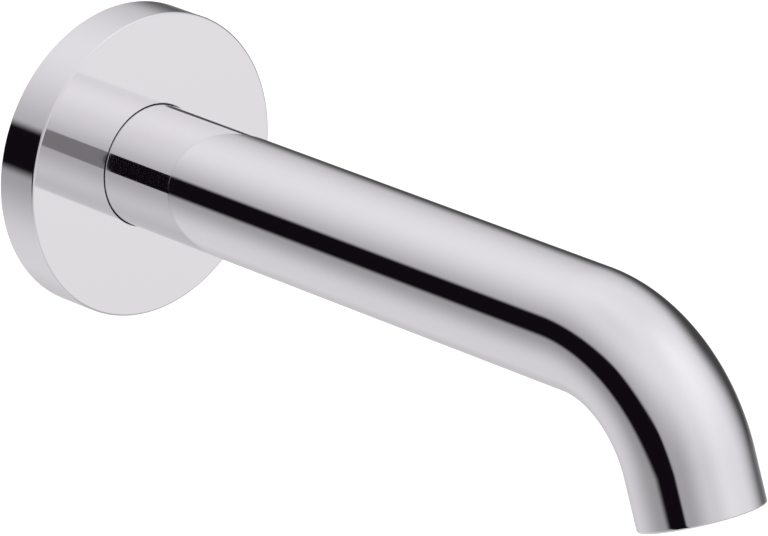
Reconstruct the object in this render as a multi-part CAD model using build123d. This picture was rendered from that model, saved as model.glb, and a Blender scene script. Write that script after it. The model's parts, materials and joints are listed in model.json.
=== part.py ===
"""Wall-mounted bath spout: a bent tube with a disc escutcheon at the wall and an aerator in its mouth.

The wall's face is the XZ plane through the origin, +Z is up, and the spout reaches out along -Y. The
origin is where the spout's axis meets the wall. Sizes are millimetres.
"""

import os
from math import cos, pi, radians, sin, sqrt

from build123d import *

# Fits
braze_gap = 0.03
slide_gap = 0.05
seal_gap = 0.02
thread_gap = 0.04

# How far a cutter runs past a surface, and how near an edge lies to be picked
cut_over = 1.0
pick_room = 0.01

# Spout tube
tube_diameter = 28.0
tube_wall = 1.5
straight_length = 139.0
bend_radius = 32.5
bend_angle = 70.0
mouth_edge_radius = 0.4
bend_margin = 0.5

# Escutcheon
escutcheon_diameter = 70.0
escutcheon_depth = 11.0
rim_wall = 4.0
plate_thickness = 3.0
front_edge_radius = 0.5
back_edge_radius = 0.3
inner_corner_radius = 1.0
bore_gap = 0.15
bore_edge_radius = 0.2
hub_length = 6.2
hub_wall = 1.9

# Rubber ring between the escutcheon and the tube
hub_ring_cord = 1.9
hub_ring_squeeze = 0.25
hub_ring_depth = 3.0
ring_side_room = 0.25
ring_roundness = 0.45

# Rubber seal between the escutcheon and the wall
wall_seal_width = 2.0
wall_seal_thickness = 1.5

# Connection nipple
pipe_thread_diameter = 20.955
pipe_thread_length = 13.0
pipe_thread_chamfer = 1.0
nipple_flange_diameter = 26.0
nipple_flange_thickness = 3.0
spigot_wall = 3.75
spigot_length = 29.5
spigot_chamfer = 1.0
key_step = 0.25
key_depth = 12.0

# Rubber rings on the spigot
spigot_ring_cord = 1.78
spigot_ring_squeeze = 0.3
spigot_ring_from_end = 3.6
spigot_ring_spacing = 4.6

# Socket bush in the wall end of the tube
socket_wall = 2.92
socket_flange_thickness = 1.5
socket_stop_step = 1.0
socket_stop_thickness = 1.5
socket_stop_room = 0.5
socket_lead_in = 0.8

# Grub screw on the underside
screw_diameter = 5.0
screw_bite = 1.05
screw_point_diameter = 2.5
screw_key_flats = 2.5
screw_key_depth = 2.2
screw_recess = 0.5
screw_from_escutcheon = 5.5
screw_hole_room = 0.25

# Outlet bush and aerator, counted from the mouth into the tube
bush_recess = 1.0
housing_recess = 1.2
bush_wall = 1.72
bush_shoulder_thickness = 2.6
bush_shoulder_width = 1.75
housing_wall = 1.1
housing_lip_height = 0.8
housing_lip_width = 0.6
key_notches = 4
key_notch_width = 2.4
key_notch_depth = 1.4
grid_height = 2.2
grid_rim = 0.5
cell_flats = 1.9
cell_wall = 0.4
screen_thickness = 0.3
screen_rim = 1.0
mesh_opening = 1.3
mesh_wire = 0.6
jet_plate_height = 1.6
jet_plate_thickness = 0.9
jet_plate_wall = 0.9
jet_diameter = 1.2
jet_pitch = 3.05
jet_edge = 1.76
jet_ring_spacing = 2.7
jet_rings = 2
strainer_flange_thickness = 0.6
strainer_wall = 0.6
strainer_height = 2.6
strainer_room = 1.2
outlet_seal_width = 1.7
outlet_seal_thickness = 1.4

# Radii that follow
tube_radius = tube_diameter / 2
tube_bore = tube_radius - tube_wall
escutcheon_radius = escutcheon_diameter / 2
escutcheon_bore = tube_radius + bore_gap
hub_ring_height = hub_ring_cord - hub_ring_squeeze
hub_groove = tube_radius + hub_ring_height + 2 * seal_gap
hub_radius = hub_groove + hub_wall
pipe_thread_radius = pipe_thread_diameter / 2
nipple_flange_radius = nipple_flange_diameter / 2
socket_bore = tube_bore - braze_gap - socket_wall
spigot_radius = socket_bore - slide_gap
waterway_radius = spigot_radius - spigot_wall
key_flats = 2 * (waterway_radius + key_step)
spigot_ring_height = spigot_ring_cord - spigot_ring_squeeze
spigot_groove = socket_bore - spigot_ring_height - 2 * seal_gap
screw_radius = screw_diameter / 2
bush_bore = tube_bore - braze_gap - bush_wall
bush_shoulder_bore = bush_bore - bush_shoulder_width
housing_radius = bush_bore - thread_gap
housing_bore = housing_radius - housing_wall
insert_radius = housing_bore - slide_gap
jet_plate_bore = insert_radius - jet_plate_wall
strainer_radius = bush_shoulder_bore - strainer_room

# Distances from the wall
socket_back = nipple_flange_thickness + slide_gap
tube_start = socket_back + socket_flange_thickness
spigot_end = nipple_flange_thickness + spigot_length
socket_end = spigot_end + socket_stop_room + socket_stop_thickness
bend_start = escutcheon_depth + straight_length
screw_out = escutcheon_depth + screw_from_escutcheon
screw_tip = spigot_radius - screw_bite + slide_gap
screw_length = tube_radius - screw_recess - screw_tip

# Depths from the mouth
grid_bottom = housing_recess + housing_lip_height
lower_screen_bottom = grid_bottom + grid_height
upper_screen_bottom = lower_screen_bottom + screen_thickness
jet_plate_bottom = upper_screen_bottom + screen_thickness
strainer_bottom = jet_plate_bottom + jet_plate_height
housing_top = strainer_bottom + strainer_flange_thickness
bush_shoulder = housing_top + outlet_seal_thickness
bush_top = bush_shoulder + bush_shoulder_thickness
tail_length = bush_top + bend_margin

# The wall plane looks out of the wall, and the mouth plane looks from the mouth into the tube.
wall_plane = Plane(origin=(0, 0, 0), x_dir=(1, 0, 0), z_dir=(0, -1, 0))
turn = radians(bend_angle)
mouth_out = bend_start + bend_radius * sin(turn) + tail_length * cos(turn)
mouth_drop = bend_radius * (1 - cos(turn)) + tail_length * sin(turn)
mouth_plane = Plane(origin=(0, -mouth_out, -mouth_drop), x_dir=(1, 0, 0), z_dir=(0, cos(turn), sin(turn)))


def turned(*outline):
    """A solid of revolution about Z from (radius, height) points."""
    section = Plane.XZ * make_face(Polyline(*outline, close=True))
    return revolve(section, Axis.Z)


def ring(inner, outer, bottom, top):
    """A plain ring about Z."""
    return turned((inner, bottom), (outer, bottom), (outer, top), (inner, top))


def squeezed_ring(inner, height, width, middle):
    """A rubber ring pressed flat on its seat and its groove, about Z."""
    section = RectangleRounded(height, width, ring_roundness * min(height, width))
    return revolve(Plane.XZ * Pos(inner + height / 2, middle) * section, Axis.Z)


def circles_at(solid, height, radius):
    """The circular edges of a turned solid at a height and radius."""
    found = solid.edges().filter_by(GeomType.CIRCLE)
    found = found.filter_by(lambda edge: abs(edge.arc_center.Z - height) < pick_room)
    return found.filter_by(lambda edge: abs(edge.radius - radius) < pick_room)


def bent_rod(radius, start):
    """The run, bend and tail of the spout as one solid rod, from a distance off the wall to the mouth."""
    run = wall_plane * Pos(0, 0, start) * extrude(Circle(radius), bend_start - start)
    elbow_axis = Axis((0, -bend_start, -bend_radius), (1, 0, 0))
    elbow = revolve(wall_plane * Pos(0, 0, bend_start) * Circle(radius), elbow_axis, bend_angle)
    tail = mouth_plane * extrude(Circle(radius), tail_length)
    return run + elbow + tail


def screw_bore(radius, inner, outer):
    """A round cutter along the grub screw's axis, on the underside."""
    cutter = extrude(Circle(radius), outer - inner)
    return wall_plane * Pos(0, -inner, screw_out) * Rot(90, 0, 0) * cutter


def make_spout_tube():
    """The drawn and bent tube: thin wall, round mouth edges, and the grub screw's hole below."""
    tube = bent_rod(tube_radius, tube_start) - bent_rod(tube_bore, tube_start)
    mouth_edges = tube.edges().filter_by(GeomType.CIRCLE)
    mouth_edges = mouth_edges.filter_by(
        lambda edge: (edge.arc_center - mouth_plane.origin).length < pick_room
    )
    tube = fillet(mouth_edges, mouth_edge_radius)
    return tube - screw_bore(screw_radius + screw_hole_room, tube_bore - cut_over, tube_radius + cut_over)


def make_escutcheon():
    """The turned disc: a cup with a thick rim, and a hub that holds a rubber ring on the tube."""
    cup = extrude(Circle(escutcheon_radius), escutcheon_depth)
    hollow = ring(
        hub_radius, escutcheon_radius - rim_wall, 0, escutcheon_depth - plate_thickness
    )
    corners = circles_at(hollow, escutcheon_depth - plate_thickness, hub_radius)
    corners += circles_at(hollow, escutcheon_depth - plate_thickness, escutcheon_radius - rim_wall)
    cup -= fillet(corners, inner_corner_radius)
    cup -= extrude(Circle(hub_radius), escutcheon_depth - hub_length)
    cup -= extrude(Circle(escutcheon_bore), escutcheon_depth)
    cup = fillet(circles_at(cup, escutcheon_depth, escutcheon_radius), front_edge_radius)
    cup = fillet(circles_at(cup, 0, escutcheon_radius), back_edge_radius)
    cup = fillet(circles_at(cup, escutcheon_depth, escutcheon_bore), bore_edge_radius)
    groove_middle = escutcheon_depth - hub_ring_depth
    groove_half = hub_ring_cord / 2 + ring_side_room
    inside = escutcheon_bore - cut_over
    cup -= ring(inside, hub_groove, groove_middle - groove_half, groove_middle + groove_half)
    seal_middle = escutcheon_radius - rim_wall / 2
    seal_half = wall_seal_width / 2 + seal_gap
    cup -= ring(seal_middle - seal_half, seal_middle + seal_half, 0, wall_seal_thickness + seal_gap)
    return wall_plane * cup


def make_hub_ring():
    """The rubber ring that holds the escutcheon on the tube."""
    middle = escutcheon_depth - hub_ring_depth
    return wall_plane * squeezed_ring(tube_radius + seal_gap, hub_ring_height, hub_ring_cord, middle)


def make_wall_seal():
    """The rubber seal in the back of the escutcheon's rim."""
    middle = escutcheon_radius - rim_wall / 2
    half = wall_seal_width / 2
    return wall_plane * ring(middle - half, middle + half, 0, wall_seal_thickness)


def make_nipple():
    """The brass connection: pipe thread into the wall, flange on the wall, and a spigot with grooves."""
    body = turned(
        (waterway_radius, -pipe_thread_length),
        (pipe_thread_radius - pipe_thread_chamfer, -pipe_thread_length),
        (pipe_thread_radius, pipe_thread_chamfer - pipe_thread_length),
        (pipe_thread_radius, 0),
        (nipple_flange_radius, 0),
        (nipple_flange_radius, nipple_flange_thickness),
        (spigot_radius, nipple_flange_thickness),
        (spigot_radius, spigot_end - spigot_chamfer),
        (spigot_radius - spigot_chamfer, spigot_end),
        (waterway_radius, spigot_end),
    )
    key = extrude(RegularPolygon(key_flats / 2, 6, major_radius=False), -key_depth)
    body -= Pos(0, 0, spigot_end) * key
    groove_half = spigot_ring_cord / 2 + ring_side_room
    for middle in spigot_ring_middles():
        body -= ring(spigot_groove, spigot_radius + cut_over, middle - groove_half, middle + groove_half)
    return wall_plane * (body - screw_groove())


def spigot_ring_middles():
    """Where the two rubber rings sit on the spigot, as distances from the wall."""
    front = spigot_end - spigot_ring_from_end
    return (front - spigot_ring_spacing, front)


def screw_groove():
    """The groove round the spigot that the grub screw's point bites in."""
    bottom = spigot_radius - screw_bite
    floor_half = screw_point_diameter / 2 + 2 * slide_gap
    depth = screw_bite + cut_over
    return turned(
        (bottom, screw_out - floor_half),
        (bottom + depth, screw_out - floor_half - depth),
        (bottom + depth, screw_out + floor_half + depth),
        (bottom, screw_out + floor_half),
    )


def make_spigot_ring(middle):
    """One rubber ring between the spigot and the socket bush."""
    seat = spigot_groove + seal_gap
    return wall_plane * squeezed_ring(seat, spigot_ring_height, spigot_ring_cord, middle)


def make_socket_bush():
    """The brass bush brazed in the wall end of the tube, with a stop in front and a threaded hole below."""
    body = turned(
        (socket_bore + socket_lead_in, socket_back),
        (tube_radius, socket_back),
        (tube_radius, tube_start),
        (tube_bore - braze_gap, tube_start),
        (tube_bore - braze_gap, socket_end),
        (socket_bore - socket_stop_step, socket_end),
        (socket_bore - socket_stop_step, socket_end - socket_stop_thickness),
        (socket_bore, socket_end - socket_stop_thickness),
        (socket_bore, socket_back + socket_lead_in),
    )
    return wall_plane * body - screw_bore(screw_radius + thread_gap, socket_bore - cut_over, tube_radius)


def make_grub_screw():
    """The grub screw: a cone point on the nipple and a hexagon socket outside."""
    cone = screw_radius - screw_point_diameter / 2
    body = turned(
        (0, 0),
        (screw_point_diameter / 2, 0),
        (screw_radius, cone),
        (screw_radius, screw_length),
        (0, screw_length),
    )
    key = extrude(RegularPolygon(screw_key_flats / 2, 6, major_radius=False), -screw_key_depth)
    body -= Pos(0, 0, screw_length) * key
    return wall_plane * Pos(0, -screw_tip, screw_out) * Rot(90, 0, 0) * body


def make_outlet_bush():
    """The brass ring brazed in the mouth, threaded for the aerator, with a shoulder for its seal."""
    body = turned(
        (bush_bore, bush_recess),
        (tube_bore - braze_gap, bush_recess),
        (tube_bore - braze_gap, bush_top),
        (bush_shoulder_bore, bush_top),
        (bush_shoulder_bore, bush_shoulder),
        (bush_bore, bush_shoulder),
    )
    return mouth_plane * body


def make_aerator_housing():
    """The threaded sleeve of the aerator, with a lip under its grid and notches for the key."""
    body = turned(
        (housing_bore - housing_lip_width, housing_recess),
        (housing_radius, housing_recess),
        (housing_radius, housing_top),
        (housing_bore, housing_top),
        (housing_bore, grid_bottom),
        (housing_bore - housing_lip_width, grid_bottom),
    )
    notch = Box(
        2 * housing_radius,
        key_notch_width,
        key_notch_depth,
        align=(Align.MIN, Align.CENTER, Align.MIN),
    )
    notch -= extrude(Circle(housing_bore), key_notch_depth)
    for number in range(key_notches):
        body -= Rot(0, 0, number * 360 / key_notches) * Pos(0, 0, housing_recess) * notch
    return mouth_plane * body


def honeycomb_centres(limit):
    """Centres of a honeycomb whose cells lie whole inside a circle."""
    pitch = cell_flats + cell_wall
    reach = limit - cell_flats / sqrt(3)
    count = int(limit / pitch) + 2
    centres = []
    for row in range(-count, count + 1):
        for column in range(-count, count + 1):
            across = (column + (row % 2) / 2) * pitch
            along = row * pitch * sqrt(3) / 2
            if across**2 + along**2 < reach**2:
                centres.append((across, along))
    return centres


def make_outlet_grid():
    """The honeycomb at the bottom of the aerator, which straightens the stream."""
    sketch = Circle(insert_radius)
    cell = RegularPolygon(cell_flats / 2, 6, major_radius=False, rotation=30)
    window = housing_bore - housing_lip_width - grid_rim
    sketch -= [Pos(*centre) * cell for centre in honeycomb_centres(window)]
    return mouth_plane * Pos(0, 0, grid_bottom) * extrude(sketch, grid_height)


def square_centres(limit):
    """Centres of a square mesh whose openings lie whole inside a circle."""
    pitch = mesh_opening + mesh_wire
    reach = limit - mesh_opening / sqrt(2)
    count = int(limit / pitch) + 1
    steps = range(-count, count + 1)
    return [
        (column * pitch, row * pitch)
        for row in steps
        for column in steps
        if (column * pitch) ** 2 + (row * pitch) ** 2 < reach**2
    ]


def wire_mesh(radius, rim, thickness, angle):
    """A disc of square wire mesh with a plain rim, about Z."""
    opening = Rectangle(mesh_opening, mesh_opening)
    sketch = Circle(radius) - [Pos(*centre) * opening for centre in square_centres(radius - rim)]
    return Rot(0, 0, angle) * extrude(sketch, thickness)


def make_screen(bottom, angle):
    """One of the two wire screens that break up the stream."""
    return mouth_plane * Pos(0, 0, bottom) * wire_mesh(insert_radius, screen_rim, screen_thickness, angle)


def make_jet_plate():
    """The plate over the screens: a shallow cup whose holes send the water out in jets."""
    cup = extrude(Circle(insert_radius), jet_plate_height)
    cup -= extrude(Circle(jet_plate_bore), jet_plate_height - jet_plate_thickness)
    jet = extrude(Circle(jet_diameter / 2), jet_plate_height)
    for number in range(jet_rings):
        ring_radius = jet_plate_bore - jet_edge - number * jet_ring_spacing
        count = int(2 * pi * ring_radius / jet_pitch)
        cup -= [place * jet for place in PolarLocations(ring_radius, count)]
    return mouth_plane * Pos(0, 0, jet_plate_bottom) * cup


def make_strainer():
    """The strainer on top of the aerator: a flange, a short wall and a mesh that catches grit."""
    inner = strainer_radius - strainer_wall
    body = ring(inner, insert_radius, 0, strainer_flange_thickness)
    body += ring(inner, strainer_radius, 0, strainer_height)
    body += Pos(0, 0, strainer_height) * wire_mesh(strainer_radius, strainer_wall, strainer_wall, 0)
    return mouth_plane * Pos(0, 0, strainer_bottom) * body


def make_outlet_seal():
    """The flat rubber washer between the aerator and the outlet bush."""
    outer = housing_radius
    return mouth_plane * ring(outer - outlet_seal_width, outer, housing_top, bush_shoulder)


def main():
    """Builds every piece and writes it to its own file."""
    rear_ring, front_ring = spigot_ring_middles()
    pieces = {
        "spout_tube": make_spout_tube(),
        "escutcheon": make_escutcheon(),
        "escutcheon_ring": make_hub_ring(),
        "wall_seal": make_wall_seal(),
        "connection_nipple": make_nipple(),
        "nipple_ring_rear": make_spigot_ring(rear_ring),
        "nipple_ring_front": make_spigot_ring(front_ring),
        "socket_bush": make_socket_bush(),
        "grub_screw": make_grub_screw(),
        "outlet_bush": make_outlet_bush(),
        "outlet_seal": make_outlet_seal(),
        "aerator_housing": make_aerator_housing(),
        "outlet_grid": make_outlet_grid(),
        "lower_screen": make_screen(lower_screen_bottom, 0),
        "upper_screen": make_screen(upper_screen_bottom, 45),
        "jet_plate": make_jet_plate(),
        "strainer": make_strainer(),
    }
    os.makedirs("parts", exist_ok=True)
    for name, piece in pieces.items():
        export_step(piece, f"parts/{name}.step")


main()
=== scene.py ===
import json
from math import atan2, ceil, cos, degrees, hypot, pi, radians, sin, sqrt, tan

import bpy
from bpy.props import FloatProperty, FloatVectorProperty, IntProperty, PointerProperty
from mathutils import Matrix, Vector

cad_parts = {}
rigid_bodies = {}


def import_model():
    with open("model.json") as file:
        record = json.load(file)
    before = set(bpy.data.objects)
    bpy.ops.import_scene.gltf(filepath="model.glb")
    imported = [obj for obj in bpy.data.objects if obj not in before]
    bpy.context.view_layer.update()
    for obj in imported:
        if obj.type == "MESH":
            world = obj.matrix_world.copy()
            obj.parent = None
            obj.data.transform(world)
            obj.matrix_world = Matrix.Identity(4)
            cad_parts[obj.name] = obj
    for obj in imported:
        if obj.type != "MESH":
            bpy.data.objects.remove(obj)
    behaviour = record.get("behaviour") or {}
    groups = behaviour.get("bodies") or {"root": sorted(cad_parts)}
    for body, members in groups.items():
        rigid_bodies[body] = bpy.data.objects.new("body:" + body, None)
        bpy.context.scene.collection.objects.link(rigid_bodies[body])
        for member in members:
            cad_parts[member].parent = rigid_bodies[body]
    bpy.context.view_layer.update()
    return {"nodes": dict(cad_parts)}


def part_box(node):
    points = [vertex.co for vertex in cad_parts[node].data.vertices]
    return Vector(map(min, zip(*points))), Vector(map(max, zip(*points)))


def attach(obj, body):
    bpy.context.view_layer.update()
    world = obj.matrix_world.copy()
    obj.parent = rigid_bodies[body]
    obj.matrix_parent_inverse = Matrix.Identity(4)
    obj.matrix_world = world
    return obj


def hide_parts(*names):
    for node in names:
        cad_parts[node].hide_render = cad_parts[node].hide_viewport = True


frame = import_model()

bl_info = {
    "name": "Bath spout",
    "version": (1, 0, 0),
    "blender": (4, 5, 0),
    "location": "View3D > Sidebar > Bath spout",
    "description": "Models a wall-mounted bath spout, gives each piece its finish and sets up a studio",
    "category": "Object",
}

MM = 0.001
BODY = "root"
SMOOTH_ANGLE = radians(30)
SAME_PLACE = 1e-6
# Share of a thread's pitch that its flat crest takes up, and its flat root too
CREST = 0.12


def linear(colour):
    """A hex sRGB colour as linear red, green, blue and alpha."""
    levels = [int(colour[at : at + 2], 16) / 255 for at in (1, 3, 5)]
    return [v / 12.92 if v <= 0.04045 else ((v + 0.055) / 1.055) ** 2.4 for v in levels] + [1.0]


def node_radius(name):
    """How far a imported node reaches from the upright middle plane."""
    low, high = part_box(name)
    return max(-low.x, high.x)


def node_depths(name):
    """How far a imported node's near and far ends stand out from the wall."""
    low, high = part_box(name)
    return -high.y, -low.y


def screw_distance():
    """How far the grub screw's axis stands out from the wall."""
    low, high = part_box("grub_screw")
    return -(low.y + high.y) / 2


def length(name, default, description):
    """A length setting of the add-on."""
    return FloatProperty(
        name=name, description=description, default=default, min=0, unit="LENGTH", precision=5
    )


def angle(name, default, description):
    """An angle setting of the add-on."""
    return FloatProperty(name=name, description=description, default=default, subtype="ANGLE")


def colour(name, default, description):
    """A colour setting of the add-on."""
    return FloatVectorProperty(
        name=name, description=description, default=linear(default)[:3], size=3, subtype="COLOR", min=0, max=1
    )


def count(name, default, description):
    """A whole-number setting of the add-on."""
    return IntProperty(name=name, description=description, default=default, min=3)


class SpoutSizes(bpy.types.PropertyGroup):
    """Sizes of the pieces that are modelled here."""

    tube_radius: length("Tube radius", node_radius("spout_tube"), "Outer radius of the spout tube")
    tube_wall: length("Tube wall", 1.5 * MM, "Wall of the spout tube")
    bend_start: length("Bend start", 150 * MM, "Where the straight run ends, from the wall")
    bend_radius: length("Bend radius", 32.5 * MM, "Radius of the bend at the tube's axis")
    bend_angle: angle("Bend angle", radians(70), "How far the tube turns down")
    # The true tail is 11.5 mm. It is a hair short here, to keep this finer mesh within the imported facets.
    tail: length("Tail", 11.488 * MM, "Straight stretch between the bend and the mouth")
    mouth_round: length("Mouth round", 0.4 * MM, "Round on the edges of the mouth")
    disc_radius: length("Disc radius", node_radius("escutcheon"), "Outer radius of the escutcheon")
    disc_depth: length("Disc depth", node_depths("escutcheon")[1], "Thickness of the escutcheon")
    disc_round: length("Disc edge round", 0.5 * MM, "Round between the disc's face and its rim")
    rim_wall: length("Rim wall", 4 * MM, "Wall of the disc's rim")
    plate: length("Front plate", 3 * MM, "Thickness of the disc's front")
    bore_gap: length("Bore gap", 0.15 * MM, "Gap between the tube and the disc")
    thread_pitch: length("Pipe thread pitch", 1.814 * MM, "Pitch of the G 1/2 thread")
    thread_depth: length("Pipe thread depth", 1.162 * MM, "Depth of the G 1/2 thread")
    around: count("Steps around", 192, "Faces round the tube and the disc")
    along_bend: count("Steps along the bend", 72, "Rings along the bend")


class SpoutColours(bpy.types.PropertyGroup):
    """Colours of the finishes."""

    chrome: colour("Chrome", "#E4E3E6", "Polished chrome plate")
    # Painted light: the disc's front is a lighter copy of the chrome, painted brighter to stand in for a veil
    # of light over the face
    face_chrome_painted_brighter: colour("Faced chrome", "#F1F0F2", "Chrome plate on the disc's faced front")
    brass: colour("Brass", "#D9B36A", "Turned brass")
    steel: colour("Stainless steel", "#C3C2BF", "Stainless steel")
    rubber: colour("Rubber", "#1B1B1C", "Nitrile rubber")
    plastic: colour("Plastic", "#DADBD9", "Moulded acetal")
    floor: colour("Floor", "#F2F2F2", "Studio floor")


def sizes():
    """The size settings."""
    return bpy.context.scene.spout_sizes


def colours():
    """The colour settings."""
    return bpy.context.scene.spout_colours


# Places

def wall_place():
    """Turns a piece built about Z so that it stands out from the wall."""
    return Matrix.Rotation(radians(90), 4, "X")


def mouth_place():
    """Puts a piece built about Z in the mouth, with its heights counted from the mouth into the tube."""
    own = sizes()
    out = own.bend_start + own.bend_radius * sin(own.bend_angle) + own.tail * cos(own.bend_angle)
    drop = own.bend_radius * (1 - cos(own.bend_angle)) + own.tail * sin(own.bend_angle)
    return Matrix.Translation((0, -out, -drop)) @ Matrix.Rotation(own.bend_angle - radians(90), 4, "X")


# Modelling

def deselect_all():
    """Leaves edit mode and deselects every object."""
    if bpy.context.object and bpy.context.object.mode != "OBJECT":
        bpy.ops.object.mode_set(mode="OBJECT")
    bpy.ops.object.select_all(action="DESELECT")


def only(piece):
    """Makes a piece the one selected and active object."""
    deselect_all()
    piece.select_set(True)
    bpy.context.view_layer.objects.active = piece


def start(name):
    """Names the primitive that was just added."""
    piece = bpy.context.object
    piece.name = name
    piece.data.name = name
    return piece


def extrude_to(step):
    """Extrudes what is selected in edit mode by a step."""
    bpy.ops.mesh.extrude_region_move(TRANSFORM_OT_translate={"value": step})


def close_up():
    """Merges doubles and turns all faces outwards, in edit mode."""
    bpy.ops.mesh.select_all(action="SELECT")
    bpy.ops.mesh.remove_doubles(threshold=SAME_PLACE)
    bpy.ops.mesh.dissolve_degenerate(threshold=SAME_PLACE)
    bpy.ops.mesh.select_all(action="SELECT")
    bpy.ops.mesh.normals_make_consistent(inside=False)


def modifier(piece, kind, **settings):
    """Adds a modifier with its settings and applies it."""
    only(piece)
    made = piece.modifiers.new(kind.title(), kind)
    for name, value in settings.items():
        setattr(made, name, value)
    bpy.ops.object.modifier_apply(modifier=made.name)


def cut(piece, cutter):
    """Cuts a piece with a solid cutter, which is then removed."""
    modifier(piece, "BOOLEAN", object=cutter, operation="DIFFERENCE", solver="EXACT")
    bpy.data.objects.remove(cutter)


def rounded(corners, steps=6):
    """An outline from (radius, height, round) corners, with an arc at each corner that has a round."""
    outline = []
    for number, (radius, height, size) in enumerate(corners):
        corner = Vector((radius, height))
        if not size:
            outline.append(corner)
            continue
        back = (Vector(corners[number - 1][:2]) - corner).normalized()
        ahead = (Vector(corners[(number + 1) % len(corners)][:2]) - corner).normalized()
        half = back.angle(ahead) / 2
        centre = corner + (back + ahead).normalized() * size / sin(half)
        first = corner + back * size / tan(half) - centre
        last = corner + ahead * size / tan(half) - centre
        reach = first.length
        outline += [centre + first.slerp(last, step / steps) * reach for step in range(steps + 1)]
    return outline


def even_heights(radius, low, high, step):
    """Outline points up a straight wall, so that a thread can be cut in it."""
    parts = ceil((high - low) / step)
    return [(radius, low + (high - low) * part / parts, 0) for part in range(1, parts)]


def turned(name, outline, steps):
    """Draws a closed outline of (radius, height) points vertex by vertex and spins it about Z."""
    deselect_all()
    bpy.ops.mesh.primitive_plane_add(size=MM)
    piece = start(name)
    bpy.ops.object.mode_set(mode="EDIT")
    bpy.ops.mesh.select_all(action="SELECT")
    bpy.ops.mesh.merge(type="CENTER")
    at = Vector((0, 0))
    for number, point in enumerate(outline):
        step = (point[0] - at[0], 0, point[1] - at[1])
        if number:
            bpy.ops.mesh.extrude_vertices_move(TRANSFORM_OT_translate={"value": step})
        else:
            bpy.ops.transform.translate(value=step)
        at = point
    home = (outline[0][0] - at[0], 0, outline[0][1] - at[1])
    bpy.ops.mesh.extrude_vertices_move(TRANSFORM_OT_translate={"value": home})
    bpy.ops.mesh.select_all(action="SELECT")
    bpy.ops.mesh.remove_doubles(threshold=SAME_PLACE)
    bpy.ops.mesh.select_all(action="SELECT")
    bpy.ops.mesh.spin(steps=steps, angle=2 * pi, center=(0, 0, 0), axis=(0, 0, 1))
    close_up()
    bpy.ops.object.mode_set(mode="OBJECT")
    return piece


def cut_thread(piece, pitch, depth, low, high, run_out):
    """Moves a turned wall's vertices in to a screw thread, which runs out towards both heights.

    Done in code, because no operator gives the run-out of a thread cut on a lathe."""
    outer = max(hypot(v.co.x, v.co.y) for v in piece.data.vertices if low < v.co.z < high)
    for vertex in piece.data.vertices:
        x, y, z = vertex.co
        radius = hypot(x, y)
        if not low < z < high or radius < outer - depth:
            continue
        phase = (z / pitch - atan2(y, x) / (2 * pi)) % 1
        ramp = min(max((abs(2 * phase - 1) - CREST) / (1 - 2 * CREST), 0), 1)
        fade = min((z - low) / run_out, (high - z) / run_out, 1)
        scale = min(radius, outer - depth * ramp * fade) / radius
        vertex.co = (x * scale, y * scale, z)
    piece.data.update()


def hexagon(flats, low, high):
    """A hexagonal prism about Z, to cut a key socket."""
    deselect_all()
    bpy.ops.mesh.primitive_cylinder_add(
        vertices=6, radius=flats / sqrt(3), depth=high - low, location=(0, 0, (low + high) / 2)
    )
    return bpy.context.object


def seat(piece, place):
    """Moves a finished piece to its place and leaves the move in its mesh."""
    only(piece)
    piece.matrix_world = place
    bpy.ops.object.transform_apply(location=True, rotation=True, scale=True)
    return piece


def finish_shading(piece):
    """Smooth shading up to the shading angle, with the large faces' normals kept flat and true."""
    only(piece)
    bpy.ops.object.shade_smooth_by_angle(angle=SMOOTH_ANGLE)
    modifier(piece, "WEIGHTED_NORMAL", mode="FACE_AREA", weight=50, keep_sharp=True)


def stands_for(piece, slot, material, *nodes):
    """Rides a piece on the body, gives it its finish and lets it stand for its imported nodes."""
    piece.data.materials.clear()
    piece.data.materials.append(material)
    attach(piece, BODY)
    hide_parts(*nodes)


# Materials

def add_node(tree, kind, sockets=None, **settings):
    """Adds a node, with its settings, its sockets' values and the links into them."""
    made = tree.nodes.new(kind)
    for name, value in settings.items():
        setattr(made, name, value)
    for socket, value in (sockets or {}).items():
        if isinstance(value, bpy.types.NodeSocket):
            tree.links.new(value, made.inputs[socket])
        else:
            made.inputs[socket].default_value = value
    return made


def new_material(name, **values):
    """A material with one Principled shader, whose plain values are given by name."""
    found = bpy.data.materials.get(name)
    if found:
        return found, None, None
    material = bpy.data.materials.new(name)
    material.use_nodes = True
    tree = material.node_tree
    shader = tree.nodes["Principled BSDF"]
    for name_of_value, value in values.items():
        socket = shader.inputs[name_of_value.replace("_", " ")]
        socket.default_value = (*value, 1) if hasattr(value, "__len__") and len(value) == 3 else value
    return material, tree, shader


def coordinates_in(tree, place):
    """Object coordinates in millimetres, counted from a piece's own place and axis."""
    raw = add_node(tree, "ShaderNodeTexCoord").outputs["Object"]
    own = {"Vector": raw, "Location": place.translation, "Rotation": place.to_euler(), "Scale": (MM, MM, MM)}
    return add_node(tree, "ShaderNodeMapping", own, vector_type="TEXTURE").outputs["Vector"]


def polished_chrome(name, tint):
    """Bright chrome plate on buffed brass: a clean mirror, with a trace of the buff's waves in its gloss."""
    material, tree, shader = new_material(name, Base_Color=tint, Metallic=1.0)
    if tree:
        waves_per_mm = 0.35
        bright, dull = 0.03, 0.06
        where = coordinates_in(tree, Matrix())
        buff = add_node(tree, "ShaderNodeTexNoise", {"Vector": where, "Scale": waves_per_mm, "Detail": 2.0})
        gloss = add_node(
            tree, "ShaderNodeMapRange", {"Value": buff.outputs["Fac"], "To Min": bright, "To Max": dull}
        )
        tree.links.new(gloss.outputs["Result"], shader.inputs["Roughness"])
    return material


def roughen(tree, shader, pattern, bright, dull, strength, depth):
    """Lets a pattern vary the roughness between two levels and raise the surface, by a depth in mm."""
    gloss = add_node(tree, "ShaderNodeMapRange", {"Value": pattern, "To Min": bright, "To Max": dull})
    tree.links.new(gloss.outputs["Result"], shader.inputs["Roughness"])
    bump = add_node(
        tree, "ShaderNodeBump", {"Height": pattern, "Strength": strength, "Distance": depth * MM}
    )
    tree.links.new(bump.outputs["Normal"], shader.inputs["Normal"])


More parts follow.
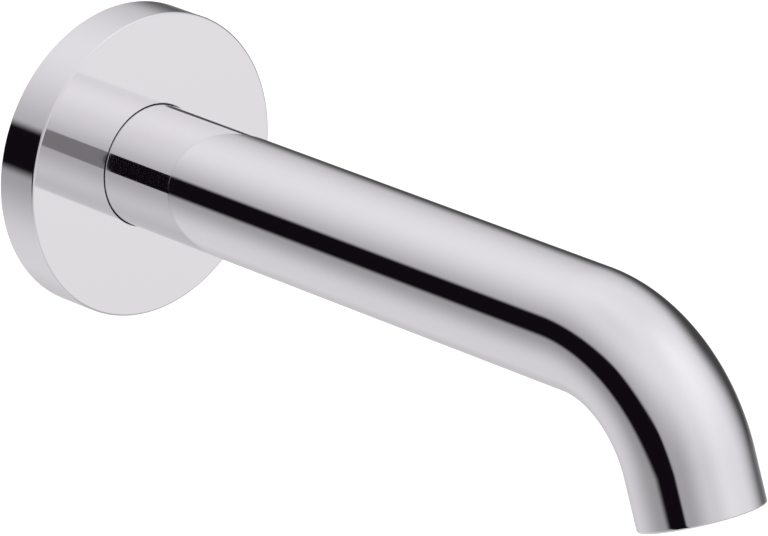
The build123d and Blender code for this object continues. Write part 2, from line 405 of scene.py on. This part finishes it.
def turned_metal(name, tint, feed, roughness, place):
    """Metal from the lathe: fine rings about the piece's axis, one feed apart, catch the light in bands."""
    material, tree, shader = new_material(name, Base_Color=tint, Metallic=1.0)
    if tree:
        where = coordinates_in(tree, place)
        parts = add_node(tree, "ShaderNodeSeparateXYZ", {"Vector": where})
        flat = add_node(tree, "ShaderNodeCombineXYZ", {"X": parts.outputs["X"], "Y": parts.outputs["Y"]})
        out = add_node(tree, "ShaderNodeVectorMath", {0: flat.outputs["Vector"]}, operation="LENGTH")
        travel = add_node(
            tree, "ShaderNodeMath", {0: parts.outputs["Z"], 1: out.outputs["Value"]}, operation="ADD"
        )
        rings = add_node(
            tree,
            "ShaderNodeTexNoise",
            {"W": travel.outputs["Value"], "Scale": 1 / feed, "Detail": 2.0},
            noise_dimensions="1D",
        )
        ring_depth = 0.02
        roughen(tree, shader, rings.outputs["Fac"], roughness * 0.8, roughness * 1.3, 0.35, ring_depth)
    return material


def moulded(name, tint, grain, depth, roughness, **values):
    """A moulded part: even colour, with the fine grain of its mould."""
    material, tree, shader = new_material(name, Base_Color=tint, **values)
    if tree:
        where = coordinates_in(tree, Matrix())
        fine = add_node(tree, "ShaderNodeTexNoise", {"Vector": where, "Scale": 1 / grain, "Detail": 3.0})
        roughen(tree, shader, fine.outputs["Fac"], roughness * 0.85, roughness * 1.15, 0.4, depth)
    return material


def rubber():
    """Nitrile rubber, moulded and matt black: it keeps edges dark and soft."""
    return moulded("moulded_nitrile_rubber", colours().rubber, 0.25, 0.01, 0.55)


def acetal():
    """Acetal, injection moulded in pale grey: a smooth, faintly waxy surface."""
    return moulded("moulded_acetal", colours().plastic, 0.4, 0.004, 0.38, IOR=1.48)


def wall_brass():
    """Free-cutting brass, turned about the straight tube's axis: a warm metal with fine rings."""
    return turned_metal("turned_brass", colours().brass, 0.12, 0.26, wall_place())


def mouth_brass():
    """The same brass, turned about the mouth's axis."""
    return turned_metal("turned_brass_of_the_mouth", colours().brass, 0.12, 0.26, mouth_place())


def screw_steel():
    """Stainless steel, turned: a cool grey metal with fine rings."""
    middle = (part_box("grub_screw")[0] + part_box("grub_screw")[1]) / 2
    return turned_metal("turned_stainless_steel", colours().steel, 0.1, 0.3, Matrix.Translation(middle))


def wire_steel():
    """Stainless steel wire, drawn through dies: cool grey, a little brighter than the screw."""
    return turned_metal("drawn_stainless_wire", colours().steel, 0.1, 0.24, mouth_place())


# Pieces

class SPOUT_OT_tube(bpy.types.Operator):
    """Bends the chrome tube from one circle, gives it its wall and cuts the grub screw's hole"""

    bl_idname = "spout.tube"
    bl_label = "Spout tube"

    def execute(self, context):
        own = sizes()
        tube_back = node_depths("spout_tube")[0]
        screw_out = screw_distance()
        hole_radius = node_radius("grub_screw") + 0.25 * MM
        hole_room = 4 * MM
        deselect_all()
        bpy.ops.mesh.primitive_circle_add(
            vertices=own.around,
            radius=own.tube_radius,
            location=(0, -tube_back, 0),
            rotation=(radians(90), 0, 0),
        )
        piece = start("spout_tube_chrome")
        bpy.ops.object.transform_apply(location=True, rotation=True, scale=True)
        bpy.ops.object.mode_set(mode="EDIT")
        bpy.ops.mesh.select_all(action="SELECT")
        at = tube_back
        beside_hole = (screw_out - hole_room, screw_out + hole_room)
        for out in (tube_back + own.mouth_round, *beside_hole, own.bend_start):
            extrude_to((0, at - out, 0))
            at = out
        bpy.ops.mesh.spin(
            steps=own.along_bend,
            angle=own.bend_angle,
            center=(0, -own.bend_start, -own.bend_radius),
            axis=(-1, 0, 0),
        )
        way = Vector((0, -cos(own.bend_angle), -sin(own.bend_angle)))
        for step in (own.tail - 2 * own.mouth_round, 2 * own.mouth_round):
            extrude_to(way * step)
        close_up()
        bpy.ops.object.mode_set(mode="OBJECT")
        modifier(piece, "SOLIDIFY", thickness=own.tube_wall, offset=-1, use_even_offset=True)
        modifier(
            piece,
            "BEVEL",
            width=own.mouth_round,
            segments=6,
            limit_method="ANGLE",
            angle_limit=radians(60),
            use_clamp_overlap=False,
        )
        bpy.ops.mesh.primitive_cylinder_add(
            vertices=96,
            radius=hole_radius,
            depth=6 * own.tube_wall,
            location=(0, -screw_out, -own.tube_radius),
        )
        cut(piece, bpy.context.object)
        finish_shading(piece)
        stands_for(piece, "chrome", polished_chrome("polished_chrome_plate", colours().chrome), "spout_tube")
        return {"FINISHED"}


class SPOUT_OT_escutcheon(bpy.types.Operator):
    """Turns the chrome disc: a crisp rim, a flat mirror face in a lighter chrome that paints a veil of light
    on it, and a hollow back with its hub
    """

    bl_idname = "spout.escutcheon"
    bl_label = "Escutcheon"

    def execute(self, context):
        own = sizes()
        bore = own.tube_radius + own.bore_gap
        rubber_gap = 0.02 * MM
        side_room = 0.25 * MM
        hub_wall = 1.9 * MM
        hub_length = 6.2 * MM
        seat_width = 2.04 * MM
        soft = 0.1 * MM
        bore_round = 0.2 * MM
        back_round = 0.3 * MM
        inner_round = 1 * MM
        ring_out = node_radius("escutcheon_ring") + rubber_gap
        ring_near, ring_far = node_depths("escutcheon_ring")
        hub = ring_out + hub_wall
        hub_back = own.disc_depth - hub_length
        seat_outer = node_radius("wall_seal") + rubber_gap
        seat_inner = seat_outer - seat_width
        seat_depth = node_depths("wall_seal")[1] + rubber_gap
        under = own.disc_depth - own.plate
        inside = own.disc_radius - own.rim_wall
        outline = rounded(
            [
                (bore, hub_back, soft),
                (bore, ring_near - side_room, 0),
                (ring_out, ring_near - side_room, 0),
                (ring_out, ring_far + side_room, 0),
                (bore, ring_far + side_room, 0),
                (bore, own.disc_depth, bore_round),
                (own.disc_radius, own.disc_depth, own.disc_round),
                (own.disc_radius, 0, back_round),
                (seat_outer, 0, soft),
                (seat_outer, seat_depth, 0),
                (seat_inner, seat_depth, 0),
                (seat_inner, 0, soft),
                (inside, 0, soft),
                (inside, under, inner_round),
                (hub, under, inner_round),
                (hub, hub_back, back_round),
            ]
        )
        piece = turned("escutcheon_chrome", outline, own.around)
        seat(piece, wall_place())
        finish_shading(piece)
        stands_for(piece, "chrome", polished_chrome("polished_chrome_plate", colours().chrome), "escutcheon")
        # The front faces get the lighter chrome, which paints a veil of light over the disc's face
        piece.data.materials.append(polished_chrome("chrome_plate_painted_brighter", colours().face_chrome_painted_brighter))
        for face in piece.data.polygons:
            on_front = face.center.y < -own.disc_depth + SAME_PLACE
            face.material_index = 1 if on_front else 0
        return {"FINISHED"}


class SPOUT_OT_nipple(bpy.types.Operator):
    """Turns the brass nipple, cuts its pipe thread and its key socket"""

    bl_idname = "spout.nipple"
    bl_label = "Connection nipple"

    def execute(self, context):
        own = sizes()
        near, far = node_depths("connection_nipple")
        thread = 10.4775 * MM
        flange = node_radius("connection_nipple")
        spigot = 9.5 * MM
        bore = 5.75 * MM
        groove = 8.05 * MM
        flange_depth = 3 * MM
        chamfer = 1 * MM
        edge_round = 0.3 * MM
        soft = 0.15 * MM
        room = 0.25 * MM
        run_out = 1.2 * MM
        thread_end = -0.2 * MM
        key_flats = 12 * MM
        key_depth = 12 * MM
        screw_out = screw_distance()
        bite = 1.05 * MM
        half = 1.35 * MM
        corners = [
            (bore, near, edge_round),
            (thread - chamfer, near, 0),
            (thread, near + chamfer, 0),
            *even_heights(thread, near + chamfer, 0, own.thread_pitch / 12),
            (thread, 0, 0),
            (flange, 0, edge_round),
            (flange, flange_depth, edge_round),
            (spigot, flange_depth, 0),
            (spigot, screw_out - half - bite, 0),
            (spigot - bite, screw_out - half, 0),
            (spigot - bite, screw_out + half, 0),
            (spigot, screw_out + half + bite, 0),
        ]
        for name in ("nipple_ring_rear", "nipple_ring_front"):
            low, high = node_depths(name)
            corners += [
                (spigot, low - room, soft),
                (groove, low - room, 0),
                (groove, high + room, 0),
                (spigot, high + room, soft),
            ]
        corners += [(spigot, far - chamfer, 0), (spigot - chamfer, far, 0), (bore, far, 0)]
        piece = turned("connection_nipple_brass", rounded(corners, 4), 96)
        cut_thread(piece, own.thread_pitch, own.thread_depth, near - run_out, thread_end, run_out)
        cut(piece, hexagon(key_flats, far - key_depth, far + chamfer))
        seat(piece, wall_place())
        finish_shading(piece)
        stands_for(piece, "brass", wall_brass(), "connection_nipple")
        return {"FINISHED"}


class SPOUT_OT_grub_screw(bpy.types.Operator):
    """Turns the grub screw with its thread, its cone point and its hexagon socket"""

    bl_idname = "spout.grub_screw"
    bl_label = "Grub screw"

    def execute(self, context):
        low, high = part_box("grub_screw")
        radius = node_radius("grub_screw")
        long = high.z - low.z
        point = 1.25 * MM
        chamfer = 0.3 * MM
        pitch = 0.8 * MM
        ridge = 0.45 * MM
        run_out = 0.4 * MM
        key_flats = 2.5 * MM
        key_depth = 2.2 * MM
        past_end = 1 * MM
        corners = [
            (0, 0, 0),
            (point, 0, 0),
            (radius, radius - point, 0),
            *even_heights(radius, radius - point, long - chamfer, pitch / 10),
            (radius, long - chamfer, 0),
            (radius - chamfer, long, 0),
            (0, long, 0),
        ]
        piece = turned("grub_screw_steel", rounded(corners), 64)
        cut_thread(piece, pitch, ridge, radius - point, long + run_out, run_out)
        cut(piece, hexagon(key_flats, long - key_depth, long + past_end))
        seat(piece, Matrix.Translation((0, -screw_distance(), high.z)) @ Matrix.Rotation(pi, 4, "X"))
        finish_shading(piece)
        stands_for(piece, "steel", screw_steel(), "grub_screw")
        return {"FINISHED"}


class SPOUT_OT_aerator_housing(bpy.types.Operator):
    """Turns the aerator's sleeve with its thread and cuts the notches for its key"""

    bl_idname = "spout.aerator_housing"
    bl_label = "Aerator housing"

    def execute(self, context):
        outer = 10.71 * MM
        inner = 9.61 * MM
        lip = inner - 0.6 * MM
        low, shelf, high = 1.2 * MM, 2.0 * MM, 7.0 * MM
        soft = 0.12 * MM
        lip_round = 0.25 * MM
        pitch = 1.0 * MM
        ridge = 0.45 * MM
        run_out = 0.8 * MM
        thread_low, thread_high = low + 1.6 * MM, high - 0.3 * MM
        notch_wide, notch_high = 2.4 * MM, 2.8 * MM
        corners = [
            (lip, low, lip_round),
            (outer, low, soft),
            *even_heights(outer, low + 2 * soft, high - 2 * soft, pitch / 10),
            (outer, high, soft),
            (inner, high, soft),
            (inner, shelf, 0),
            (lip, shelf, soft),
        ]
        piece = turned("aerator_housing_moulded", rounded(corners, 4), 128)
        cut_thread(piece, pitch, ridge, thread_low, thread_high, run_out)
        for number in range(2):
            deselect_all()
            bpy.ops.mesh.primitive_cube_add(size=1)
            notch = bpy.context.object
            notch.scale = (4 * outer, notch_wide, notch_high)
            notch.location = (0, 0, low)
            notch.rotation_euler = (0, 0, number * radians(90))
            bpy.ops.object.transform_apply(location=True, rotation=True, scale=True)
            core = turned("notch_core", [(0, 0), (inner, 0), (inner, 2 * high), (0, 2 * high)], 128)
            seat(core, Matrix.Translation((0, 0, -high)))
            cut(notch, core)
            cut(piece, notch)
        seat(piece, mouth_place())
        finish_shading(piece)
        stands_for(piece, "plastic", acetal(), "aerator_housing")
        return {"FINISHED"}


class SPOUT_OT_outlet_grid(bpy.types.Operator):
    """Softens the edges of the honeycomb's cells, as they come from the mould"""

    bl_idname = "spout.outlet_grid"
    bl_label = "Outlet grid"

    def execute(self, context):
        only(frame["nodes"]["outlet_grid"])
        bpy.ops.object.duplicate()
        piece = start("outlet_grid_moulded")
        bpy.ops.object.parent_clear(type="CLEAR_KEEP_TRANSFORM")
        for key in list(piece.keys()):
            del piece[key]
        bpy.ops.object.mode_set(mode="EDIT")
        close_up()
        bpy.ops.mesh.dissolve_limited(angle_limit=radians(1))
        bpy.ops.object.mode_set(mode="OBJECT")
        modifier(
            piece, "BEVEL", width=0.06 * MM, segments=2, limit_method="ANGLE", angle_limit=radians(50)
        )
        finish_shading(piece)
        stands_for(piece, "plastic", acetal(), "outlet_grid")
        return {"FINISHED"}


class SPOUT_OT_screens(bpy.types.Operator):
    """Weaves the two wire screens, each with its flat rim"""

    bl_idname = "spout.screens"
    bl_label = "Wire screens"

    def execute(self, context):
        outer = node_radius("lower_screen")
        rim = 1.0 * MM
        pitch = 1.2 * MM
        wire = 0.07 * MM
        wave = 0.075 * MM
        thick = 0.3 * MM
        strand = self.strand(outer, pitch, wire, wave)
        for name, bottom, turn in (("lower_screen", 4.2 * MM, 0), ("upper_screen", 4.5 * MM, 45)):
            flat = [(outer - rim, 0), (outer, 0), (outer, thick), (outer - rim, thick)]
            piece = turned(name + "_woven", [Vector(point) for point in flat], 96)
            wires = []
            reach = outer - rim / 2
            rows = int((outer - rim) / pitch)
            for across in range(-rows, rows + 1):
                long = sqrt(reach**2 - (across * pitch) ** 2)
                for way in range(2):
                    wires.append(self.laid(strand, across, way, long, pitch, thick / 2))
            only(piece)
            for one in wires:
                one.select_set(True)
            bpy.ops.object.join()
            place = mouth_place() @ Matrix.Translation((0, 0, bottom))
            seat(piece, place @ Matrix.Rotation(radians(turn), 4, "Z"))
            finish_shading(piece)
            stands_for(piece, "steel", wire_steel(), name)
        bpy.data.objects.remove(strand)
        return {"FINISHED"}

    def strand(self, reach, pitch, wire, wave):
        """One wire along X that rises and falls over its neighbours, longer than it needs to be."""
        quarter = pitch / 2
        half_count = 2 * ceil(reach / pitch) + 2
        deselect_all()
        bpy.ops.mesh.primitive_circle_add(
            vertices=6,
            radius=wire,
            fill_type="NGON",
            location=(-half_count * quarter, 0, wave * cos(pi * half_count / 2)),
            rotation=(0, radians(90), 0),
        )
        piece = start("strand")
        bpy.ops.object.transform_apply(location=True, rotation=True, scale=True)
        bpy.ops.object.mode_set(mode="EDIT")
        bpy.ops.mesh.select_all(action="SELECT")
        for step in range(-half_count, half_count):
            rise = wave * (cos(pi * (step + 1) / 2) - cos(pi * step / 2))
            extrude_to((quarter, 0, rise))
        close_up()
        bpy.ops.object.mode_set(mode="OBJECT")
        return piece

    def laid(self, strand, across, way, long, pitch, middle):
        """A copy of the strand, cut to its row's length and laid along X or Y."""
        only(strand)
        bpy.ops.object.duplicate()
        piece = bpy.context.object
        bpy.ops.object.mode_set(mode="EDIT")
        for side in (-1, 1):
            bpy.ops.mesh.select_all(action="SELECT")
            bpy.ops.mesh.bisect(
                plane_co=(side * long, 0, 0), plane_no=(side, 0, 0), use_fill=True, clear_outer=True
            )
        bpy.ops.object.mode_set(mode="OBJECT")
        flip = Matrix.Rotation(pi, 4, "X") if (across + way) % 2 else Matrix.Identity(4)
        turn = Matrix.Rotation(radians(90) * way, 4, "Z")
        return seat(piece, turn @ Matrix.Translation((0, across * pitch, middle)) @ flip)


class SPOUT_OT_packed_finishes(bpy.types.Operator):
    """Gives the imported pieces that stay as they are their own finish"""

    bl_idname = "spout.packed_finishes"
    bl_label = "Finishes of the packed pieces"

    def execute(self, context):
        finishes = {
            wall_brass: ("socket_bush",),
            mouth_brass: ("outlet_bush",),
            rubber: ("escutcheon_ring", "wall_seal", "nipple_ring_rear", "nipple_ring_front", "outlet_seal"),
            acetal: ("jet_plate", "strainer"),
        }
        for finish, names in finishes.items():
            for name in names:
                slots = frame["nodes"][name].material_slots
                for slot in slots:
                    slot.material = finish()
        return {"FINISHED"}


# Studio

# Light levels round the studio, by degrees to the side of straight ahead of the wall. The levels here, the
# edges below and the near cards were fitted to what the chrome mirrors in the photograph.
HORIZON = (
    (-180, 0.74), (-120, 0.34), (-60, 0.44), (-20, 0.74), (15, 0.93),
    (45, 0.9), (75, 0.64), (110, 0.47), (180, 0.74),
)
CEILING = ((-180, 0.98), (-110, 0.86), (-40, 0.95), (30, 1.11), (110, 0.92), (180, 0.98))
ZENITH = ((-180, 0.96), (180, 0.96))
GROUND = ((-180, 0.8), (-120, 0.85), (-40, 0.79), (10, 0.67), (45, 0.56), (90, 0.58), (145, 0.63), (180, 0.8))

# Levels above and below the horizon, each with the degrees up between which it takes over
LAYERS = ((CEILING, 0.5, 58), (ZENITH, 62, 88), (GROUND, -8, -49))

# Edges of dark things in the studio: a weight on the degrees to the side, a weight on the degrees up,
# and the two values between which the dark thing fades in
LONG_CARD = (
    (1, 0, -165, -158), (0.13, -1, -36, -31), (-0.34, -1, 12, 18.4),
    (-1.33, -1, 90, 98.3), (0.15, 1, -31.2, -25.2),
)
DIM_CORNER = ((1, -0.22, 62, 101), (-1, 0, -146, -133), (-0.5, -1, -90, -63.5), (0, 1, -27, -5))
CORNER_DIMMING = 0.86

# The studio's light is a trace violet, and so is what little the long black card sends back
LIGHT_TINT = "#FFFDFF"
CARD_COLOUR = "#120D12"

# Cards near the disc that face the wall: distance from the wall, colour, and corners to the right and up
NEAR_CARDS = {
    "grey_card": (60, "#898688", ((-37, -1.4), (-62.8, -6.8), (-57.8, 24.5), (-37, 16.3))),
    "black_card": (60, "#100B11", ((-62.8, -6.8), (-150, -25), (-150, 61), (-57.8, 24.5))),
    "dim_card": (110, "#595759", ((136, -5), (102, -5), (102, 28), (136, 28))),
}

# Between one mirror reflection and two
SECOND_MIRROR = 1.5

# The floor's and the lamp's sizes and places, in metres
FLOOR_RADIUS = 5
FLOOR_HEIGHT = -0.3
FLOOR_GLOW = 0.35
LAMP_SIZE = 1.2
LAMP_WATTS = 9
LAMP_PLACE = (-0.7, -0.9, 1.3)


def bare_tree(owner):
    """The node tree of a new material or world, with nothing in it."""
    owner.use_nodes = True
    owner.node_tree.nodes.clear()
    return owner.node_tree


def band_of_light(tree, share, stops):
    """A level that changes smoothly all the way round the studio."""
    ramp = add_node(tree, "ShaderNodeValToRGB", {"Fac": share})
    ramp.color_ramp.interpolation = "EASE"
    points = ramp.color_ramp.elements
    while len(points) < len(stops):
        points.new(0.5)
    for point, (at, level) in zip(points, stops):
        point.position = at / 360 + 0.5
        point.color = (level, level, level, 1)
    return ramp.outputs["Color"]


def share_inside(tree, across_and_up, edges):
    """How far a direction lies inside the edges of something dark in the studio."""
    inside = 1.0
    for across, up, low, high in edges:
        away = add_node(
            tree, "ShaderNodeVectorMath", {0: across_and_up, 1: (across, up, 0)}, operation="DOT_PRODUCT"
        )
        edge = add_node(
            tree,
            "ShaderNodeMapRange",
            {"Value": away.outputs["Value"], "From Min": low, "From Max": high},
            interpolation_type="SMOOTHSTEP",
        )
        inside = add_node(
            tree, "ShaderNodeMath", {0: edge.outputs["Result"], 1: inside}, operation="MULTIPLY"
        ).outputs["Value"]
    return inside


def studio_light(tree):
    """The studio's light in each direction: bright in front and above, a dim corner and a long black card."""
    way = add_node(tree, "ShaderNodeTexCoord").outputs["Generated"]
    parts = add_node(tree, "ShaderNodeSeparateXYZ", {"Vector": way})
    ahead = add_node(tree, "ShaderNodeMath", {0: parts.outputs["Y"], 1: -1.0}, operation="MULTIPLY")
    side = add_node(
        tree, "ShaderNodeMath", {0: parts.outputs["X"], 1: ahead.outputs["Value"]}, operation="ARCTAN2"
    )
    up = add_node(tree, "ShaderNodeMath", {0: parts.outputs["Z"]}, operation="ARCSINE")
    turns = add_node(
        tree, "ShaderNodeMapRange", {"Value": side.outputs["Value"], "From Min": -pi, "From Max": pi}
    )
    both = add_node(tree, "ShaderNodeCombineXYZ", {"X": side.outputs["Value"], "Y": up.outputs["Value"]})
    degree = degrees(1)
    across_and_up = add_node(
        tree,
        "ShaderNodeVectorMath",
        {0: both.outputs["Vector"], 1: (degree, degree, 0)},
        operation="MULTIPLY",
    ).outputs["Vector"]
    level = band_of_light(tree, turns.outputs["Result"], HORIZON)
    for stops, low, high in LAYERS:
        share = add_node(
            tree,
            "ShaderNodeMapRange",
            {"Value": up.outputs["Value"], "From Min": radians(low), "From Max": radians(high)},
            interpolation_type="SMOOTHSTEP",
        )
        other = band_of_light(tree, turns.outputs["Result"], stops)
        level = add_node(
            tree, "ShaderNodeMix", {"Factor": share.outputs["Result"], 2: level, 3: other}, data_type="FLOAT"
        ).outputs[0]
    corner = share_inside(tree, across_and_up, DIM_CORNER)
    left = add_node(
        tree, "ShaderNodeMath", {0: corner, 1: -CORNER_DIMMING, 2: 1.0}, operation="MULTIPLY_ADD"
    )
    level = add_node(tree, "ShaderNodeMath", {0: level, 1: left.outputs["Value"]}, operation="MULTIPLY")
    tinted = add_node(
        tree,
        "ShaderNodeVectorMath",
        {0: linear(LIGHT_TINT)[:3], "Scale": level.outputs["Value"]},
        operation="SCALE",
    )
    card = share_inside(tree, across_and_up, LONG_CARD)
    mixed = add_node(
        tree,
        "ShaderNodeMix",
        {0: card, 6: tinted.outputs["Vector"], 7: linear(CARD_COLOUR)},
        data_type="RGBA",
    )
    return mixed.outputs[2]


class SPOUT_OT_studio(bpy.types.Operator):
    """Sets the pale floor, the soft studio light and the camera"""

    bl_idname = "spout.studio"
    bl_label = "Studio"

    def execute(self, context):
        self.light_world(context)
        self.lay_floor()
        self.hang_cards()
        self.hang_lamp(context)
        self.set_camera(context)
        context.scene.view_settings.view_transform = "Standard"
        return {"FINISHED"}

    def light_world(self, context):
        """White to the camera alone. The studio's levels are what lights the object and mirrors in it."""
        world = bpy.data.worlds.new("studio")
        context.scene.world = world
        tree = bare_tree(world)
        lit = add_node(tree, "ShaderNodeBackground", {"Color": studio_light(tree), "Strength": 1.0})
        white = add_node(tree, "ShaderNodeBackground", {"Color": (1, 1, 1, 1), "Strength": 1.0})
        seen = add_node(tree, "ShaderNodeLightPath").outputs["Is Camera Ray"]
        mixed = add_node(
            tree,
            "ShaderNodeMixShader",
            {0: seen, 1: lit.outputs["Background"], 2: white.outputs["Background"]},
        )
        add_node(tree, "ShaderNodeOutputWorld", {"Surface": mixed.outputs["Shader"]})

    def lay_floor(self):
        """A pale floor well below the spout, white to the camera and soft with shadow."""
        deselect_all()
        bpy.ops.mesh.primitive_circle_add(
            vertices=64, radius=FLOOR_RADIUS, fill_type="NGON", location=(0, 0, FLOOR_HEIGHT)
        )
        piece = start("floor")
        bpy.ops.object.transform_apply(location=True, rotation=True, scale=True)
        material = bpy.data.materials.new("pale_floor")
        tree = bare_tree(material)
        seen = add_node(tree, "ShaderNodeLightPath").outputs["Is Camera Ray"]
        plain = add_node(tree, "ShaderNodeBsdfDiffuse", {"Color": (*colours().floor, 1)})
        lift = add_node(tree, "ShaderNodeMath", {0: seen, 1: FLOOR_GLOW}, operation="MULTIPLY")
        glow = add_node(tree, "ShaderNodeEmission", {"Strength": lift.outputs["Value"]})
        both = add_node(tree, "ShaderNodeAddShader", {0: plain.outputs["BSDF"], 1: glow.outputs["Emission"]})
        clear = add_node(tree, "ShaderNodeBsdfTransparent")
        side = add_node(tree, "ShaderNodeNewGeometry").outputs["Backfacing"]
        shown = add_node(
            tree, "ShaderNodeMixShader", {0: side, 1: both.outputs["Shader"], 2: clear.outputs["BSDF"]}
        )
        add_node(tree, "ShaderNodeOutputMaterial", {"Surface": shown.outputs["Shader"]})
        piece.data.materials.append(material)
        piece.visible_glossy = False

    def hang_cards(self):
        """Small dark cards that face the wall. Unlike real ones, they show only in what is mirrored twice."""
        for name, (out, tint, corners) in NEAR_CARDS.items():
            deselect_all()
            bpy.ops.mesh.primitive_plane_add(size=1)
            piece = start(name)
            for vertex, (right, up) in zip(piece.data.polygons[0].vertices, corners):
                piece.data.vertices[vertex].co = (right * MM, -out * MM, up * MM)
            material = bpy.data.materials.new(name)
            tree = bare_tree(material)
            lit = add_node(tree, "ShaderNodeEmission", {"Color": linear(tint), "Strength": 1.0})
            clear = add_node(tree, "ShaderNodeBsdfTransparent")
            side = add_node(tree, "ShaderNodeNewGeometry").outputs["Backfacing"]
            depth = add_node(tree, "ShaderNodeLightPath").outputs["Glossy Depth"]
            front = add_node(tree, "ShaderNodeMath", {0: 1.0, 1: side}, operation="SUBTRACT")
            turns = add_node(
                tree, "ShaderNodeMath", {0: depth, 1: front.outputs["Value"]}, operation="MULTIPLY"
            )
            twice = add_node(
                tree,
                "ShaderNodeMath",
                {0: turns.outputs["Value"], 1: SECOND_MIRROR},
                operation="GREATER_THAN",
            )
            shown = add_node(
                tree,
                "ShaderNodeMixShader",
                {0: twice.outputs["Value"], 1: clear.outputs["BSDF"], 2: lit.outputs["Emission"]},
            )
            add_node(tree, "ShaderNodeOutputMaterial", {"Surface": shown.outputs["Shader"]})
            piece.data.materials.append(material)
            piece.visible_camera = False
            piece.visible_diffuse = False
            piece.visible_shadow = False

    def hang_lamp(self, context):
        """One large soft lamp above the spout, which mirrors don't show."""
        data = bpy.data.lights.new("soft_lamp", "AREA")
        data.shape = "DISK"
        data.size = LAMP_SIZE
        data.energy = LAMP_WATTS
        lamp = bpy.data.objects.new("soft_lamp", data)
        context.scene.collection.objects.link(lamp)
        lamp.location = LAMP_PLACE
        lamp.rotation_euler = (-lamp.location).to_track_quat("-Z", "Y").to_euler()
        lamp.visible_glossy = False

    def set_camera(self, context):
        """A long lens from the front left and above, as the photograph was taken."""
        turn, rise, away = radians(-42.894), radians(20.625), 1.60953
        aim = Vector((0, -86.98, -3.606)) * MM
        back = Vector((sin(turn) * cos(rise), -cos(turn) * cos(rise), sin(rise)))
        data = bpy.data.cameras.new("camera")
        data.sensor_width = 36
        data.lens = 348.98
        data.clip_start, data.clip_end = 0.05, 20
        camera = bpy.data.objects.new("camera", data)
        context.scene.collection.objects.link(camera)
        camera.location = aim + back * away
        camera.rotation_euler = (-back).to_track_quat("-Z", "Y").to_euler()
        bpy.context.scene.camera = camera


STEPS = (
    SPOUT_OT_tube,
    SPOUT_OT_escutcheon,
    SPOUT_OT_nipple,
    SPOUT_OT_grub_screw,
    SPOUT_OT_aerator_housing,
    SPOUT_OT_outlet_grid,
    SPOUT_OT_screens,
    SPOUT_OT_packed_finishes,
    SPOUT_OT_studio,
)


class SPOUT_PT_panel(bpy.types.Panel):
    """Lists the spout's sizes, its colours and the steps that build it"""

    bl_idname = "SPOUT_PT_panel"
    bl_label = "Bath spout"
    bl_space_type = "VIEW_3D"
    bl_region_type = "UI"
    bl_category = "Bath spout"

    def draw(self, context):
        for group in (context.scene.spout_sizes, context.scene.spout_colours):
            box = self.layout.box()
            for name in group.bl_rna.properties.keys():
                if name not in ("rna_type", "name"):
                    box.prop(group, name)
        for step in STEPS:
            self.layout.operator(step.bl_idname)


CLASSES = (SpoutSizes, SpoutColours, *STEPS, SPOUT_PT_panel)


def register():
    """Registers the classes and hangs the settings on the scene."""
    for one in CLASSES:
        bpy.utils.register_class(one)
    bpy.types.Scene.spout_sizes = PointerProperty(type=SpoutSizes)
    bpy.types.Scene.spout_colours = PointerProperty(type=SpoutColours)


def unregister():
    """Takes the settings and the classes away again."""
    del bpy.types.Scene.spout_colours
    del bpy.types.Scene.spout_sizes
    for one in reversed(CLASSES):
        bpy.utils.unregister_class(one)


def main():
    register()
    for step in STEPS:
        group, name = step.bl_idname.split(".")
        getattr(getattr(bpy.ops, group), name)()


if __name__ == "__main__":
    main()
